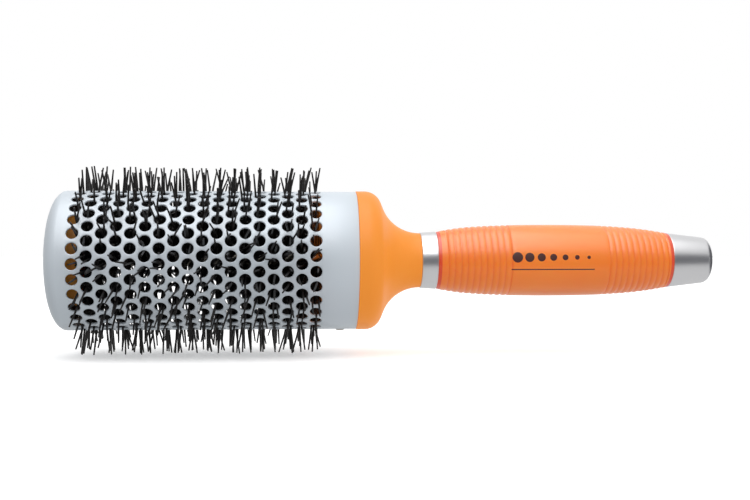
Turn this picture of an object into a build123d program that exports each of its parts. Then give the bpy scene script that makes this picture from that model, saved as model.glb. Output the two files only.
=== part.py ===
"""Round barrel brush: a vented metal barrel around a twisted-in-wire bristle core, on a gel-gripped handle.

The brush's axis is X. X = 0 is the flat front of the barrel, +X runs towards the end of the handle and +Z is
up. Lengths are in millimetres and angles in degrees, and an angle around the axis starts at +Y and turns
towards +Z.
"""

import os
from math import atan, cos, pi, radians, sin, sqrt, tan

from build123d import *

# Gaps between pieces
SLIDE_GAP = 0.1  # radial gap where one piece slides into another
PRESS_GAP = 0.04  # radial gap where one piece is pressed, moulded or crimped onto another
END_GAP = 0.3  # axial gap at the bottom of a socket

# Barrel: a drawn aluminium tube with a rounded nose and staggered columns of vent holes
BARREL_RADIUS = 26.5
BARREL_WALL = 1.0
NOSE_DEPTH = 6.1
NOSE_INSET = 13.0
LIP_WIDTH = 2.6
HOLE_DIAMETER = 4.4
HOLES_PER_COLUMN = 29
HOLE_COLUMNS = 18
FIRST_COLUMN_X = 11.8
COLUMN_PITCH = 5.14
FIRST_HOLE_ANGLE = 182.4
REAR_BAND = 15.9

# Bristles and the twisted wire that grips them
BRISTLE_DIAMETER = 0.6
BRISTLE_REACH = 9.8
BRISTLE_SPACING = 0.03
FAN_FILL = 0.9
WIRE_DIAMETER = 2.4
FERRULE_WALL = 1.0
FRONT_FERRULE_LENGTH = 6.0
REAR_FERRULE_LENGTH = 14.0
WIRE_PAST_COLLAR = 2.0

# Front plug: closes the barrel's mouth, holds the front ferrule and guards the first column of bristles
PLUG_WALL = 1.0
PLUG_FACE_THICKNESS = 3.0
PLUG_HUB_WALL = 1.8
SOCKET_FLOOR = 2.0
GUARD_DROP = 8.5
GUARD_OVERLAP = 0.2
GUARD_CLEARANCE = 0.2
HOLE_EDGE_CLEARANCE = 0.5
WEB_BEFORE_HOLES = 2.5

# Neck: the tapered shell between barrel and handle
NECK_STEP = 0.2
NECK_WALL = 2.0
NECK_SHOULDER_LENGTH = 7.7
NECK_SLOPE = 67.3
NECK_SHOULDER_ROUND = 6.5
NECK_THROAT_ROUND = 15.6
NECK_END_RADIUS = 10.55
NECK_END_WALL = 2.95
NECK_END_FLAT = 0.14
NECK_CAVITY_ROUND = 4.0
NECK_SEAT_STEP = 1.4
SPIGOT_LENGTH = 11.0

# Rivet: fixes the barrel to the neck's spigot, underneath
RIVET_BEFORE_SEAM = 6.0
RIVET_SHANK_DIAMETER = 2.0
RIVET_HEAD_DIAMETER = 3.2
RIVET_HEAD_HEIGHT = 0.4
RIVET_TAIL_HEIGHT = 0.6

# Collar ring, between neck and grip
COLLAR_LENGTH = 6.2
COLLAR_PROUD = 0.2
COLLAR_EDGE = 0.25

# Gel grip: a soft sleeve with two ribbed zones
GRIP_LENGTH = 92.1
GRIP_RADIUS = 13.9
GRIP_BELLY_X = 43.7
GEL_THICKNESS = 3.0
RIB_COUNT = 10
RIB_PITCH = 2.4
RIB_DEPTH = 0.33
FRONT_RIBS_START = 3.8
REAR_RIBS_END = 2.1

# Handle core: the rigid spine under the grip
CORE_BORE_RADIUS = 4.5
CORE_WEB = 2.0
TAIL_LENGTH = 12.5

# End cap
CAP_LENGTH = 16.7
CAP_RADIUS = 10.7
CAP_TAPER = 0.116
CAP_WALL = 1.2
CAP_CORNER = 2.9


def column_x(column):
    """X of one column of vent holes."""
    return FIRST_COLUMN_X + column * COLUMN_PITCH


def column_start_angle(column):
    """Angle of the first hole of a column: every second column is turned by half a hole step."""
    return FIRST_HOLE_ANGLE + (column % 2) * hole_step / 2


def grip_radius(distance):
    """Outer radius of the grip, at a distance from its front end: a long belly that dives at both ends."""
    if distance < GRIP_BELLY_X:
        share = (GRIP_BELLY_X - distance) / GRIP_BELLY_X
        return GRIP_RADIUS - 1.4 * share**2 - 1.55 * share**6
    share = (distance - GRIP_BELLY_X) / (GRIP_LENGTH - GRIP_BELLY_X)
    return GRIP_RADIUS - 1.32 * share**2 - 1.93 * share**4


def grip_points(start, end, count, inset=0.0):
    """Evenly spaced points of the grip's smooth outline between two distances from its front end."""
    steps = [start + (end - start) * i / (count - 1) for i in range(count)]
    return [(grip_x + step, grip_radius(step) - inset) for step in steps]


def rib_arcs(start):
    """The scalloped outline of one ribbed zone: convex arcs that meet in sharp grooves."""
    for rib in range(RIB_COUNT):
        low, high = start + rib * RIB_PITCH, start + (rib + 1) * RIB_PITCH
        middle = (low + high) / 2
        ThreePointArc(
            (grip_x + low, grip_radius(low) - RIB_DEPTH),
            (grip_x + middle, grip_radius(middle)),
            (grip_x + high, grip_radius(high) - RIB_DEPTH),
        )


def save(builder, name):
    """Label a finished sub-part and write its STEP file."""
    builder.part.label = name
    export_step(builder.part, f"parts/{name}.step")


# Places along the axis, and radii that several pieces share
hole_step = 360 / HOLES_PER_COLUMN
bore_radius = BARREL_RADIUS - BARREL_WALL
nose_edge_radius = BARREL_RADIUS - NOSE_INSET
mouth_radius = nose_edge_radius - LIP_WIDTH
bristle_tip_radius = BARREL_RADIUS + BRISTLE_REACH
wire_radius = WIRE_DIAMETER / 2
strand_radius = wire_radius + PRESS_GAP / 2
twist_radius = strand_radius + wire_radius
ferrule_bore = twist_radius + PRESS_GAP
ferrule_radius = ferrule_bore + FERRULE_WALL

seam_x = column_x(HOLE_COLUMNS - 1) + REAR_BAND
shoulder_radius = BARREL_RADIUS + NECK_STEP
shoulder_x = seam_x + NECK_SHOULDER_LENGTH
slope_run = (shoulder_radius - NECK_END_RADIUS) / tan(radians(NECK_SLOPE))
round_run = tan(radians(NECK_SLOPE / 2))
throat_x = shoulder_x + slope_run
collar_x = throat_x + NECK_THROAT_ROUND * round_run + NECK_END_FLAT
grip_x = collar_x + COLLAR_LENGTH
cap_x = grip_x + GRIP_LENGTH
end_x = cap_x + CAP_LENGTH

os.makedirs("parts", exist_ok=True)

# Barrel tube
with BuildPart() as barrel_tube:
    with BuildSketch(Plane.XZ):
        with BuildLine():
            Line((seam_x, BARREL_RADIUS), (NOSE_DEPTH, BARREL_RADIUS))
            nose_centre = (NOSE_DEPTH, nose_edge_radius)
            EllipticalCenterArc(
                nose_centre, NOSE_DEPTH, NOSE_INSET, start_angle=90, arc_size=90
            )
            Polyline(
                (0, nose_edge_radius),
                (0, mouth_radius),
                (BARREL_WALL, mouth_radius),
                (BARREL_WALL, nose_edge_radius),
            )
            EllipticalCenterArc(
                nose_centre,
                NOSE_DEPTH - BARREL_WALL,
                NOSE_INSET - BARREL_WALL,
                start_angle=90,
                arc_size=90,
            )
            Line((NOSE_DEPTH, bore_radius), (seam_x, bore_radius))
            Line((seam_x, bore_radius), (seam_x, BARREL_RADIUS))
        make_face()
    revolve(axis=Axis.X)
    for parity in range(2):
        columns = range(parity, HOLE_COLUMNS, 2)
        with Locations(*[Plane.YZ.offset(column_x(column)) for column in columns]):
            with PolarLocations(
                BARREL_RADIUS, HOLES_PER_COLUMN, start_angle=column_start_angle(parity)
            ):
                Cylinder(
                    HOLE_DIAMETER / 2, 4 * BARREL_WALL, rotation=(0, 90, 0), mode=Mode.SUBTRACT
                )
    rivet_x = seam_x - RIVET_BEFORE_SEAM
    with Locations(Location((rivet_x, 0, -BARREL_RADIUS))):
        Cylinder(RIVET_SHANK_DIAMETER / 2 + SLIDE_GAP, 4 * BARREL_WALL, mode=Mode.SUBTRACT)
save(barrel_tube, "barrel_tube")

# Front plug: a cup flush with the barrel's lip, with a guard tube and a hub for the front ferrule inside
fan_half_width = COLUMN_PITCH * FAN_FILL / 2
hub_end_x = FIRST_COLUMN_X - fan_half_width - BRISTLE_DIAMETER / 2 - END_GAP
skirt_end_x = FIRST_COLUMN_X - HOLE_DIAMETER / 2 - WEB_BEFORE_HOLES
guard_start_x = PLUG_FACE_THICKNESS - PLUG_WALL / 2
guard_end_x = FIRST_COLUMN_X + GUARD_OVERLAP
guard_radius = bore_radius - GUARD_DROP
skirt_radius = bore_radius - SLIDE_GAP
cup_radius = skirt_radius - PLUG_WALL
lip_back_x = BARREL_WALL + SLIDE_GAP
socket_radius = ferrule_radius + PRESS_GAP
hub_radius = socket_radius + PLUG_HUB_WALL
with BuildPart() as front_plug:
    with BuildSketch(Plane.XZ):
        with BuildLine():
            Polyline(
                (SOCKET_FLOOR, 0),
                (0, 0),
                (0, mouth_radius - SLIDE_GAP),
                (lip_back_x, mouth_radius - SLIDE_GAP),
                (lip_back_x, nose_edge_radius),
            )
            EllipticalCenterArc(
                nose_centre,
                NOSE_DEPTH - lip_back_x,
                skirt_radius - nose_edge_radius,
                start_angle=90,
                arc_size=90,
            )
            Polyline(
                (NOSE_DEPTH, skirt_radius),
                (skirt_end_x, skirt_radius),
                (skirt_end_x, cup_radius),
                (NOSE_DEPTH, cup_radius),
            )
            EllipticalCenterArc(
                nose_centre,
                NOSE_DEPTH - PLUG_FACE_THICKNESS,
                cup_radius - nose_edge_radius,
                start_angle=90,
                arc_size=90,
            )
            Polyline(
                (PLUG_FACE_THICKNESS, nose_edge_radius),
                (PLUG_FACE_THICKNESS, hub_radius),
                (hub_end_x, hub_radius),
                (hub_end_x, socket_radius),
                (SOCKET_FLOOR, socket_radius),
                (SOCKET_FLOOR, 0),
            )
        make_face()
        with Locations((guard_start_x, guard_radius)):
            Rectangle(guard_end_x - guard_start_x, PLUG_WALL, align=(Align.MIN, Align.MAX))
    revolve(axis=Axis.X)
save(front_plug, "front_plug")

# Twisted wire, left-handed: each half turn of the pair sweeps the bristles of one column of holes
front_ferrule_x = SOCKET_FLOOR + END_GAP
twist_angle = atan(pi * strand_radius / COLUMN_PITCH)
cut_end_reach = wire_radius * sin(twist_angle)
wire_start_x = front_ferrule_x + cut_end_reach
wire_end_x = grip_x + WIRE_PAST_COLLAR
with BuildPart() as wire_strand_a:
    with BuildLine():
        helix = Helix(
            pitch=2 * COLUMN_PITCH,
            height=wire_end_x - wire_start_x,
            radius=strand_radius,
            center=(wire_start_x, 0, 0),
            direction=(1, 0, 0),
            lefthand=True,
        )
    with BuildSketch(Plane(origin=helix @ 0, z_dir=helix % 0)):
        Circle(wire_radius)
    sweep(is_frenet=True)
save(wire_strand_a, "wire_strand_a")

with BuildPart() as wire_strand_b:
    add(wire_strand_a.part.rotate(Axis.X, 180))
save(wire_strand_b, "wire_strand_b")


def ferrule(start_x, length):
    """A crimped tube around the twisted wire, from start_x."""
    with BuildPart() as tube:
        with BuildSketch(Plane.YZ.offset(start_x)):
            Circle(ferrule_radius)
            Circle(ferrule_bore, mode=Mode.SUBTRACT)
        extrude(amount=length)
        outer_edges = tube.edges().filter_by(GeomType.CIRCLE).sort_by(SortBy.RADIUS)[-2:]
        chamfer(outer_edges, FERRULE_WALL / 3)
    return tube


front_ferrule = ferrule(front_ferrule_x, FRONT_FERRULE_LENGTH)
save(front_ferrule, "front_ferrule")
rear_ferrule_end_x = wire_end_x + cut_end_reach
rear_ferrule = ferrule(rear_ferrule_end_x - REAR_FERRULE_LENGTH, REAR_FERRULE_LENGTH)
save(rear_ferrule, "rear_ferrule")

# Bristles: straight rods that fan out of the twist, one through each hole. Their roots stay clear of
# their neighbours' on the tight turn around the wire.
fan_axial_step = 4 * fan_half_width / HOLES_PER_COLUMN
root_gap = sqrt((BRISTLE_DIAMETER + BRISTLE_SPACING) ** 2 - fan_axial_step**2)
crowded_radius = HOLES_PER_COLUMN * root_gap / (2 * pi)
bristle_root_radius = max(twist_radius + 2 * PRESS_GAP, crowded_radius)

# The first column's bristles start behind the plug's guard, far enough back to pass it, and leave their
# holes near the rear edge.
first_exit_x = FIRST_COLUMN_X + HOLE_DIAMETER / 2 - HOLE_EDGE_CLEARANCE - BRISTLE_DIAMETER / 2
guard_pass_x = guard_end_x + GUARD_CLEARANCE + BRISTLE_DIAMETER / 2
guard_share = (guard_radius - bristle_root_radius) / (BARREL_RADIUS - bristle_root_radius)
first_root_x = (guard_pass_x - guard_share * first_exit_x) / (1 - guard_share)


def bristle_plane(column, angle):
    """The plane that a bristle stands on: at its root on the wire, facing its hole."""
    fan_start_x = first_root_x if column == 0 else column_x(column) - fan_half_width
    root_x = fan_start_x + (2 - (angle % 180) / 90) * fan_half_width
    exit_x = first_exit_x if column == 0 else column_x(column)
    radial = Vector(0, cos(radians(angle)), sin(radians(angle)))
    root = Vector(root_x, 0, 0) + radial * bristle_root_radius
    hole = Vector(exit_x, 0, 0) + radial * BARREL_RADIUS
    return Plane(origin=root, z_dir=hole - root)


def bristle_length(plane):
    """Length along a leaning bristle that takes its tip to the tip radius."""
    radial_share = sqrt(1 - plane.z_dir.X**2)
    return (bristle_tip_radius - bristle_root_radius) / radial_share


for column in range(HOLE_COLUMNS):
    with BuildPart() as bristle_row:
        for hole in range(HOLES_PER_COLUMN):
            stand = bristle_plane(column, column_start_angle(column) + hole * hole_step)
            with Locations(stand):
                Cylinder(
                    BRISTLE_DIAMETER / 2,
                    bristle_length(stand),
                    align=(Align.CENTER, Align.CENTER, Align.MIN),
                )
    save(bristle_row, f"bristle_row_{column + 1:02d}")

# Neck shell: a hollow shoulder with a spigot inside the barrel and a bore for the handle core's tang
spigot_bore = skirt_radius - NECK_WALL
tang_bore = NECK_END_RADIUS - NECK_END_WALL
cavity_end_radius = tang_bore + NECK_SEAT_STEP
inner_slope_x = shoulder_x - NECK_WALL * round_run
inner_shoulder_drop = shoulder_radius - NECK_WALL - spigot_bore
cavity_corner_x = inner_slope_x + inner_shoulder_drop / tan(radians(NECK_SLOPE))
cavity_drop = shoulder_radius - NECK_WALL - cavity_end_radius
cavity_end_x = inner_slope_x + cavity_drop / tan(radians(NECK_SLOPE))
with BuildPart() as neck_shell:
    with BuildSketch(Plane.XZ):
        with BuildLine():
            FilletPolyline(
                (seam_x, shoulder_radius),
                (shoulder_x, shoulder_radius),
                (throat_x, NECK_END_RADIUS),
                (collar_x, NECK_END_RADIUS),
                radius=[NECK_SHOULDER_ROUND, NECK_THROAT_ROUND],
            )
            Polyline(
                (collar_x, NECK_END_RADIUS),
                (collar_x, tang_bore),
                (cavity_end_x, tang_bore),
                (cavity_end_x, cavity_end_radius),
            )
            FilletPolyline(
                (cavity_end_x, cavity_end_radius),
                (cavity_corner_x, spigot_bore),
                (seam_x - SPIGOT_LENGTH, spigot_bore),
                radius=NECK_CAVITY_ROUND,
            )
            Polyline(
                (seam_x - SPIGOT_LENGTH, spigot_bore),
                (seam_x - SPIGOT_LENGTH, skirt_radius),
                (seam_x, skirt_radius),
                (seam_x, shoulder_radius),
            )
        make_face()
    revolve(axis=Axis.X)
    with Locations(Location((rivet_x, 0, -spigot_bore))):
        Cylinder(RIVET_SHANK_DIAMETER / 2 + SLIDE_GAP, 3 * NECK_WALL, mode=Mode.SUBTRACT)
save(neck_shell, "neck_shell")

# Barrel rivet: flat head outside, flared tail inside the spigot
rivet_head_radius = RIVET_HEAD_DIAMETER / 2
rivet_tail_top = sqrt(spigot_bore**2 - rivet_head_radius**2)
with BuildPart() as barrel_rivet:
    with BuildSketch(Plane.XY.offset(-BARREL_RADIUS - RIVET_HEAD_HEIGHT)):
        with Locations((rivet_x, 0)):
            Circle(rivet_head_radius)
    extrude(amount=RIVET_HEAD_HEIGHT)
    head_rim = barrel_rivet.edges().sort_by(Axis.Z)[0]
    fillet(head_rim, RIVET_HEAD_HEIGHT / 2)
    with BuildSketch(Plane.XY.offset(-BARREL_RADIUS)):
        with Locations((rivet_x, 0)):
            Circle(RIVET_SHANK_DIAMETER / 2)
    extrude(amount=BARREL_RADIUS - rivet_tail_top)
    with BuildSketch(Plane.XY.offset(-rivet_tail_top)):
        with Locations((rivet_x, 0)):
            Circle(rivet_head_radius)
    extrude(amount=RIVET_TAIL_HEIGHT)
save(barrel_rivet, "barrel_rivet")

# Collar ring: a slightly conical metal ring, a little proud of the neck and the grip
tang_radius = tang_bore - SLIDE_GAP
collar_bore = tang_bore + SLIDE_GAP
with BuildPart() as collar_ring:
    with BuildSketch(Plane.XZ):
        with BuildLine():
            Polyline(
                (collar_x, collar_bore),
                (collar_x, NECK_END_RADIUS + COLLAR_PROUD),
                (grip_x, grip_radius(0) + COLLAR_PROUD),
                (grip_x, collar_bore),
                close=True,
            )
        make_face()
    revolve(axis=Axis.X)
    rims = collar_ring.edges().filter_by(GeomType.CIRCLE).sort_by(SortBy.RADIUS)[-2:]
    chamfer(rims, COLLAR_EDGE)
save(collar_ring, "collar_ring")

# Handle core: a tang in the neck, a body under the gel and a tail in the cap
cap_end_radius = CAP_RADIUS - CAP_TAPER * CAP_LENGTH
cap_bore = cap_end_radius - CAP_WALL
tail_radius = cap_bore - SLIDE_GAP
tang_x = cavity_end_x + END_GAP
tail_end_x = cap_x + TAIL_LENGTH
front_bore_end_x = rear_ferrule_end_x + END_GAP
rear_bore_x = front_bore_end_x + CORE_WEB
core_line = grip_points(0, GRIP_LENGTH, 9, inset=GEL_THICKNESS)
with BuildPart() as handle_core:
    with BuildSketch(Plane.XZ):
        with BuildLine():
            Spline(*core_line)
            Polyline(
                core_line[-1],
                (cap_x, tail_radius),
                (tail_end_x, tail_radius),
                (tail_end_x, CORE_BORE_RADIUS),
                (rear_bore_x, CORE_BORE_RADIUS),
                (rear_bore_x, 0),
                (front_bore_end_x, 0),
                (front_bore_end_x, socket_radius),
                (tang_x, socket_radius),
                (tang_x, tang_radius),
                (grip_x, tang_radius),
                core_line[0],
            )
        make_face()
    revolve(axis=Axis.X)
save(handle_core, "handle_core")

# Gel grip: the soft sleeve over the core's body
gel_bore_line = grip_points(0, GRIP_LENGTH, 9, inset=GEL_THICKNESS - PRESS_GAP)
front_ribs_end = FRONT_RIBS_START + RIB_COUNT * RIB_PITCH
rear_ribs_start = GRIP_LENGTH - REAR_RIBS_END - RIB_COUNT * RIB_PITCH
rear_flare_start = GRIP_LENGTH - REAR_RIBS_END


def groove_side(edge, groove):
    """The short fall from the plain surface into the last groove of a ribbed zone."""
    Line(
        (grip_x + edge, grip_radius(edge)),
        (grip_x + groove, grip_radius(groove) - RIB_DEPTH),
    )


groove_run = 2 * RIB_DEPTH
with BuildPart() as gel_grip:
    with BuildSketch(Plane.XZ):
        with BuildLine():
            Spline(*grip_points(0, FRONT_RIBS_START - groove_run, 4))
            groove_side(FRONT_RIBS_START - groove_run, FRONT_RIBS_START)
            rib_arcs(FRONT_RIBS_START)
            groove_side(front_ribs_end + groove_run, front_ribs_end)
            Spline(*grip_points(front_ribs_end + groove_run, rear_ribs_start - groove_run, 6))
            groove_side(rear_ribs_start - groove_run, rear_ribs_start)
            rib_arcs(rear_ribs_start)
            groove_side(rear_flare_start + groove_run, rear_flare_start)
            Spline(*grip_points(rear_flare_start + groove_run, GRIP_LENGTH, 4))
            Line((cap_x, grip_radius(GRIP_LENGTH)), gel_bore_line[-1])
            Spline(*gel_bore_line)
            Line((grip_x, grip_radius(0)), gel_bore_line[0])
        make_face()
    revolve(axis=Axis.X)
save(gel_grip, "gel_grip")

# End cap: a tapered cup over the core's tail, with a flat end
cap_floor_x = tail_end_x + END_GAP
with BuildPart() as end_cap:
    with BuildSketch(Plane.XZ):
        with BuildLine():
            FilletPolyline(
                (cap_x, CAP_RADIUS), (end_x, cap_end_radius), (end_x, 0), radius=CAP_CORNER
            )
            Polyline(
                (end_x, 0),
                (cap_floor_x, 0),
                (cap_floor_x, cap_bore),
                (cap_x, cap_bore),
                (cap_x, CAP_RADIUS),
            )
        make_face()
    revolve(axis=Axis.X)
save(end_cap, "end_cap")
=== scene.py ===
"""Round barrel brush: the finished look of every piece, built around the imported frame.

X runs along the brush from its flat front to the end of its handle, +Z is up and the viewer stands at -Y.
All lengths are in metres.
"""

from math import acos, atan2, cos, floor, pi, radians, sin, tan
from random import Random

import bmesh
import bpy
from mathutils import Matrix, Vector


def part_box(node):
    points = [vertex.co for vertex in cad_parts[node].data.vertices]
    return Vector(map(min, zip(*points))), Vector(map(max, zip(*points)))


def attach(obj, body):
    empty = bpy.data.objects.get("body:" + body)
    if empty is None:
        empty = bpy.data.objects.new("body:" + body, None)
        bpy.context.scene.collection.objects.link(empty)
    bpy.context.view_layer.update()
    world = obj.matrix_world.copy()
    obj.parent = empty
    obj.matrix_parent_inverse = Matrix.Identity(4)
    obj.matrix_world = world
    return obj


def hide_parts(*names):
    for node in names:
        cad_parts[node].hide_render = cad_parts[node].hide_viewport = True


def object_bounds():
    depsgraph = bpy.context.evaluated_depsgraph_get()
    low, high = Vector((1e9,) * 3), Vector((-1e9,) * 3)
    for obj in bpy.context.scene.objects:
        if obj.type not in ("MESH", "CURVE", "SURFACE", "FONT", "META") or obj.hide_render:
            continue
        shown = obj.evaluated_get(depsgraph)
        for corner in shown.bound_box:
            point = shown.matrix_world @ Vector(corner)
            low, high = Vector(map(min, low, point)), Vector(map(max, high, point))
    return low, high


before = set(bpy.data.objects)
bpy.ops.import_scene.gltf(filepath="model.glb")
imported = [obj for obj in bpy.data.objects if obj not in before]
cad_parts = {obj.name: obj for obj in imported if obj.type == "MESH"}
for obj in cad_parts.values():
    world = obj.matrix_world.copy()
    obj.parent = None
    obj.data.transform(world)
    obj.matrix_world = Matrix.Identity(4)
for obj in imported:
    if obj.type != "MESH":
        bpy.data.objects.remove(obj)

bl_info = {
    "name": "Round Barrel Brush",
    "version": (1, 0, 0),
    "blender": (4, 5, 0),
    "location": "3D View > Sidebar > Brush",
    "description": "Builds the pieces, finishes and studio of a round barrel hair brush",
    "category": "Object",
}

MM = 0.001
WELD = 1e-6

# Sizes read from the frame
CAD_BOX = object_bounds()
BARREL_LOW, BARREL_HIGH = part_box("barrel_tube")
BARREL_RADIUS = BARREL_HIGH.y
SEAM_X = BARREL_HIGH.x
TIP_RADIUS = CAD_BOX[1][1]
ROWS = 18


def row_node(row):
    """The frame's node of one row of bristles, counted from 0 at the front."""
    return f"bristle_row_{row + 1:02d}"


def row_middle(row):
    """X of the middle of a row of bristles, where its column of holes is."""
    low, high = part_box(row_node(row))
    return (low.x + high.x) / 2


COLUMN_PITCH = (row_middle(ROWS - 1) - row_middle(1)) / (ROWS - 2)
FIRST_COLUMN_X = row_middle(1) - COLUMN_PITCH

# The barrel's hole pattern
HOLES_AROUND = 29
HOLE_STEP = 2 * pi / HOLES_AROUND
FIRST_HOLE_ANGLE = radians(182.4)
TILE_SEGMENTS = 4


def column_x(column):
    """X of one column of holes."""
    return FIRST_COLUMN_X + column * COLUMN_PITCH


def hole_angle(column, hole):
    """Angle around the axis of one hole, from +Y towards +Z: every second column is turned by half a step."""
    return FIRST_HOLE_ANGLE + (hole + (column % 2) / 2) * HOLE_STEP


# Settings --------------------------------------------------------------------------------------------


def length(name, description, default):
    """A size property in metres."""
    return bpy.props.FloatProperty(
        name=name, description=description, default=default, min=0.0, precision=5, unit="LENGTH"
    )


def share(name, description, default):
    """A property from 0 to 1."""
    return bpy.props.FloatProperty(
        name=name, description=description, default=default, min=0.0, max=1.0, subtype="FACTOR"
    )


def colour(name, description, default):
    """A colour property in linear RGB."""
    return bpy.props.FloatVectorProperty(
        name=name, description=description, default=default, size=3, min=0.0, max=1.0, subtype="COLOR"
    )


def strength(name, description, default, unit="NONE"):
    """The strength of a light."""
    return bpy.props.FloatProperty(name=name, description=description, default=default, min=0.0, unit=unit)


class BarrelSettings(bpy.types.PropertyGroup):
    """Sizes and colours of the vented barrel and its front plug."""

    hole_diameter: length("Hole diameter", "Diameter of a vent hole", 4.4 * MM)
    rim_round: length("Rim round", "Radius of the rounded rim of a vent hole", 0.3 * MM)
    wall: length("Wall", "Thickness of the barrel's sheet", 1.0 * MM)
    nose_depth: length("Nose depth", "Length of the rounded nose along the axis", 6.1 * MM)
    nose_inset: length("Nose inset", "Depth of the rounded nose towards the axis", 13.0 * MM)
    lip_width: length("Lip width", "Width of the flat lip around the plug", 2.6 * MM)
    coat: colour("Coating", "Ceramic coating of the barrel", (0.60, 0.68, 0.735))
    coat_tint: colour("Coating tint", "Slight tint in the coating", (0.66, 0.70, 0.76))
    guard_radius: length("Guard radius", "Radius of the guard tube inside the plug", 17.0 * MM)
    plug: colour("Plug", "Plastic of the front plug", (0.88, 0.36, 0.06))
    # Painted shade: a flat dark colour on the hidden cup round the guard, where shade falls inside the nose
    painted_cup_shade: colour("Plug cup", "The hidden cup around the guard", (0.05, 0.035, 0.03))


class BristleSettings(bpy.types.PropertyGroup):
    """Sizes and colours of the filaments and the wire that grips them."""

    diameter: length("Diameter", "Diameter of a filament", 0.78 * MM)
    slack: length("Slack", "How far from its hole's middle a filament may pass", 1.75 * MM)
    root_radius: length("Root radius", "Where a filament leaves the wire", 2.3 * MM)
    empty: share("Empty holes", "Share of the holes that no filament passes", 0.07)
    double: share("Double holes", "Share of the holes that two filaments pass", 0.55)
    inner: bpy.props.IntProperty(
        name="Inner filaments", description="Filaments that stay inside, for each hole", default=8, min=0
    )
    seed: bpy.props.IntProperty(name="Seed", description="Seed of the filaments' places", default=7)
    nylon: colour("Nylon", "Colour of the filaments", (0.0095, 0.0085, 0.0082))
    wire: colour("Wire", "Colour of the twisted wire", (0.30, 0.27, 0.24))
    ferrule: colour("Ferrules", "Metal of the ferrules on the wire's ends", (0.50, 0.36, 0.16))


class HandleSettings(bpy.types.PropertyGroup):
    """Sizes and colours of the neck, the grip and their metal trim."""

    neck: colour("Neck", "Opaque plastic of the neck", (0.52, 0.17, 0.02))
    neck_glow: strength("Neck glow", "Emission, set to match this studio. 0 for other light", 0.9)
    gel_glow: strength("Gel glow", "The same for the gel", 0.28)
    core_glow: strength("Core glow", "The same for the core", 0.05)
    gel: colour("Gel", "Soft gel of the grip", (0.83, 0.235, 0.016))
    gel_deep: colour("Gel, deep", "Cloudy streaks in the gel", (0.76, 0.16, 0.012))
    # Painted light: the deep colour on both ends of the gel is painted, for the light seen through the gel
    # there; the gel is no thicker at its ends
    rim: colour("Gel rim", "The gel at its two ends, where it is thickest", (0.66, 0.06, 0.015))
    # Painted shade: share of the deep rim colour painted into the grooves between ribs
    groove: share("Groove tint", "How much of the deep colour shows in the grooves between ribs", 0.3)
    painted_end_width: length("Gel rim width", "How far the deep colour reaches in from an end", 1.3 * MM)
    ink: colour("Print", "Ink of the dots on the grip", (0.06, 0.015, 0.012))
    core: colour("Core", "Plastic of the handle's core", (0.80, 0.30, 0.08))
    rib_depth: length("Rib depth", "Depth of the grooves between ribs", 0.33 * MM)
    rivet: colour("Rivet", "Steel of the rivet", (0.32, 0.29, 0.26))
    metal: colour("Metal", "Satin metal of the ring and the cap", (0.57, 0.57, 0.58))


class StudioSettings(bpy.types.PropertyGroup):
    """Camera, floor and light."""

    lens: bpy.props.FloatProperty(
        name="Lens", description="Focal length on a 36 mm sensor", default=52.6, min=1.0, unit="CAMERA"
    )
    distance: length("Distance", "From the brush's axis to the camera", 424.1 * MM)
    beside: length("Place", "The camera's place along the brush", 87.4 * MM)
    height: length("Height", "The camera's height over the brush's axis", 4.0 * MM)
    turn: bpy.props.FloatProperty(
        name="Turn", description="The camera's turn towards the handle", default=radians(4.76), unit="ROTATION"
    )
    floor: colour("Floor", "Colour of the floor", (0.95, 0.95, 0.95))
    sky: strength("Sky", "Strength of the light from above", 1.1)
    ground: strength("Ground", "Strength of the light from below", 0.58)
    table: strength("Table", "Brightness of the table in reflections", 0.95)
    nose_shade: share("Nose shade", "Share of the light that comes from in front of the nose", 0.5)
    key: strength("Key", "Power of the overhead light", 1.8, "POWER")
    sheen: strength("Sheen", "Power of the light that only shows in reflections", 6.0, "POWER")


# Mesh helpers ----------------------------------------------------------------------------------------


def rounded(outline, steps=6):
    """Points of a closed outline of (x, radius, corner), with an arc at each corner that has a radius."""
    points = []
    for i, (x, r, corner) in enumerate(outline):
        here = Vector((x, r))
        if corner == 0:
            points.append(here)
            continue
        ahead = outline[(i + 1) % len(outline)]
        before = (Vector(outline[i - 1][:2]) - here).normalized()
        after = (Vector(ahead[:2]) - here).normalized()
        half = before.angle(after) / 2
        centre = here + (before + after).normalized() * corner / sin(half)
        first = here + before * corner / tan(half) - centre
        last = here + after * corner / tan(half) - centre
        start = atan2(first.y, first.x)
        turn = (atan2(last.y, last.x) - start + pi) % (2 * pi) - pi
        for k in range(steps + 1):
            angle = start + turn * k / steps
            points.append(centre + Vector((cos(angle), sin(angle))) * corner)
    return points


def lathe(points, steps=128):
    """A closed shape of revolution about X from a closed outline, or one that starts and ends on the axis."""
    bm = bmesh.new()
    verts = [bm.verts.new((x, 0.0, r)) for x, r in points]
    on_axis = points[0][1] < WELD and points[-1][1] < WELD
    ends = verts[1:] if on_axis else verts[1:] + verts[:1]
    edges = [bm.edges.new(pair) for pair in zip(verts, ends)]
    bmesh.ops.spin(
        bm,
        geom=verts + edges,
        cent=(0, 0, 0),
        axis=(1, 0, 0),
        angle=2 * pi,
        steps=steps,
        use_merge=True,
    )
    bmesh.ops.remove_doubles(bm, verts=bm.verts, dist=WELD)
    bmesh.ops.recalc_face_normals(bm, faces=bm.faces)
    return bm


def finish_piece(bm, name, material, nodes, sharp=40):
    """Turn a bmesh into a finished piece that stands for CAD nodes."""
    mesh = bpy.data.meshes.new(name)
    bm.to_mesh(mesh)
    bm.free()
    mesh.shade_smooth()
    mesh.set_sharp_from_angle(angle=radians(sharp))
    mesh.materials.append(material)
    piece = bpy.data.objects.new(name, mesh)
    bpy.context.scene.collection.objects.link(piece)
    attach(piece, "root")
    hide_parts(*nodes)
    return piece


def dress(node, material):
    """Give a CAD node that stays its finished material."""
    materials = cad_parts[node].data.materials
    materials.clear()
    materials.append(material)


# Shader groups ---------------------------------------------------------------------------------------


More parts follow.
